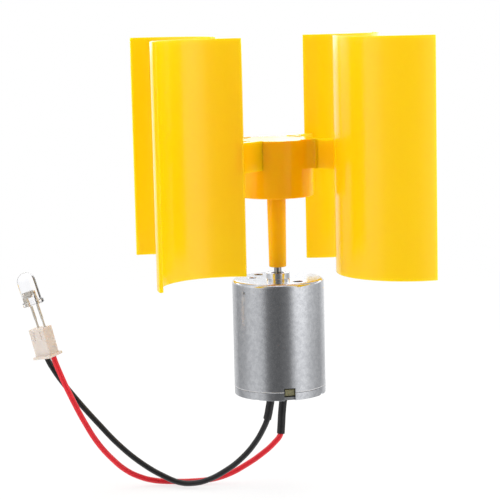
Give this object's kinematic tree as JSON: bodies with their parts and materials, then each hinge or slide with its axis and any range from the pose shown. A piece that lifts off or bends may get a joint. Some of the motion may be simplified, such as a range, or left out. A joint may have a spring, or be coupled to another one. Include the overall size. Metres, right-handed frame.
{
  "type": "vertical axis turbine",
  "caption": "Small vertical axis turbine: a yellow bladed rotor on a DC motor used as its generator, with black and red leads to a plugged-in LED.",
  "frame": {"origin": "centre of the motor's flat rear face", "axes": "+Z along the rotor's axis, from the motor's rear face towards the blades; +X to the right as seen from the front, so the connector lies at -X"},
  "size_m": [0.1099, 0.0798, 0.1206],
  "materials": {
    "yellow_plastic": "glossy, slightly translucent yellow",
    "plated_steel": "satin plated, faint grain",
    "polished_steel": "ground and polished",
    "bronze": "oily sintered bronze",
    "lamination": "dull stamped steel",
    "ferrite": "matt dark grey ceramic",
    "enamelled_copper": "glossy red-brown enamel",
    "copper": "bright copper",
    "brass": "satin brass",
    "phosphor_bronze": "bright spring bronze",
    "khaki_plastic": "matt khaki",
    "black_plastic": "matt black",
    "fibre": "matt red-brown fibre",
    "black_sleeve": "satin black shrink tube",
    "red_insulation": "semi-gloss red",
    "black_insulation": "semi-gloss black",
    "cream_nylon": "translucent cream",
    "tinned_steel": "tinned",
    "clear_epoxy": "clear and glossy",
    "led_chip": "yellowish die"
  },
  "bodies": {
    "motor": {"motor_can": "plated_steel", "end_plate": "plated_steel", "brush_holder": "khaki_plastic", "rear_bearing": "bronze", "front_bearing": "bronze", "magnet_north": "ferrite", "magnet_south": "ferrite", "magnet_clip": "polished_steel", "terminal_red": "brass", "terminal_black": "brass", "brush_red": "phosphor_bronze", "brush_black": "phosphor_bronze", "sleeve_red": "black_sleeve", "sleeve_black": "black_sleeve", "lead_red": "red_insulation", "lead_black": "black_insulation", "connector_housing": "cream_nylon", "contact_red": "tinned_steel", "contact_black": "tinned_steel", "led_lens": "clear_epoxy", "led_anode": "tinned_steel", "led_cathode": "tinned_steel", "led_chip": "led_chip"},
    "rotor": {"hub": "yellow_plastic", "blade_1": "yellow_plastic", "blade_2": "yellow_plastic", "blade_3": "yellow_plastic", "blade_4": "yellow_plastic", "shaft": "polished_steel", "armature_core": "lamination", "insulator_rear": "fibre", "insulator_front": "fibre", "winding_1": "enamelled_copper", "winding_2": "enamelled_copper", "winding_3": "enamelled_copper", "commutator_barrel": "black_plastic", "commutator_bar_1": "copper", "commutator_bar_2": "copper", "commutator_bar_3": "copper", "thrust_washer_rear": "fibre", "thrust_washer_front": "fibre"}
  },
  "joints": [
    {"name": "rotor_spin", "type": "hinge", "parent": "motor", "child": "rotor", "pos_m": [0, 0, 0], "axis": [0, 0, 1], "continuous": true}
  ]
}
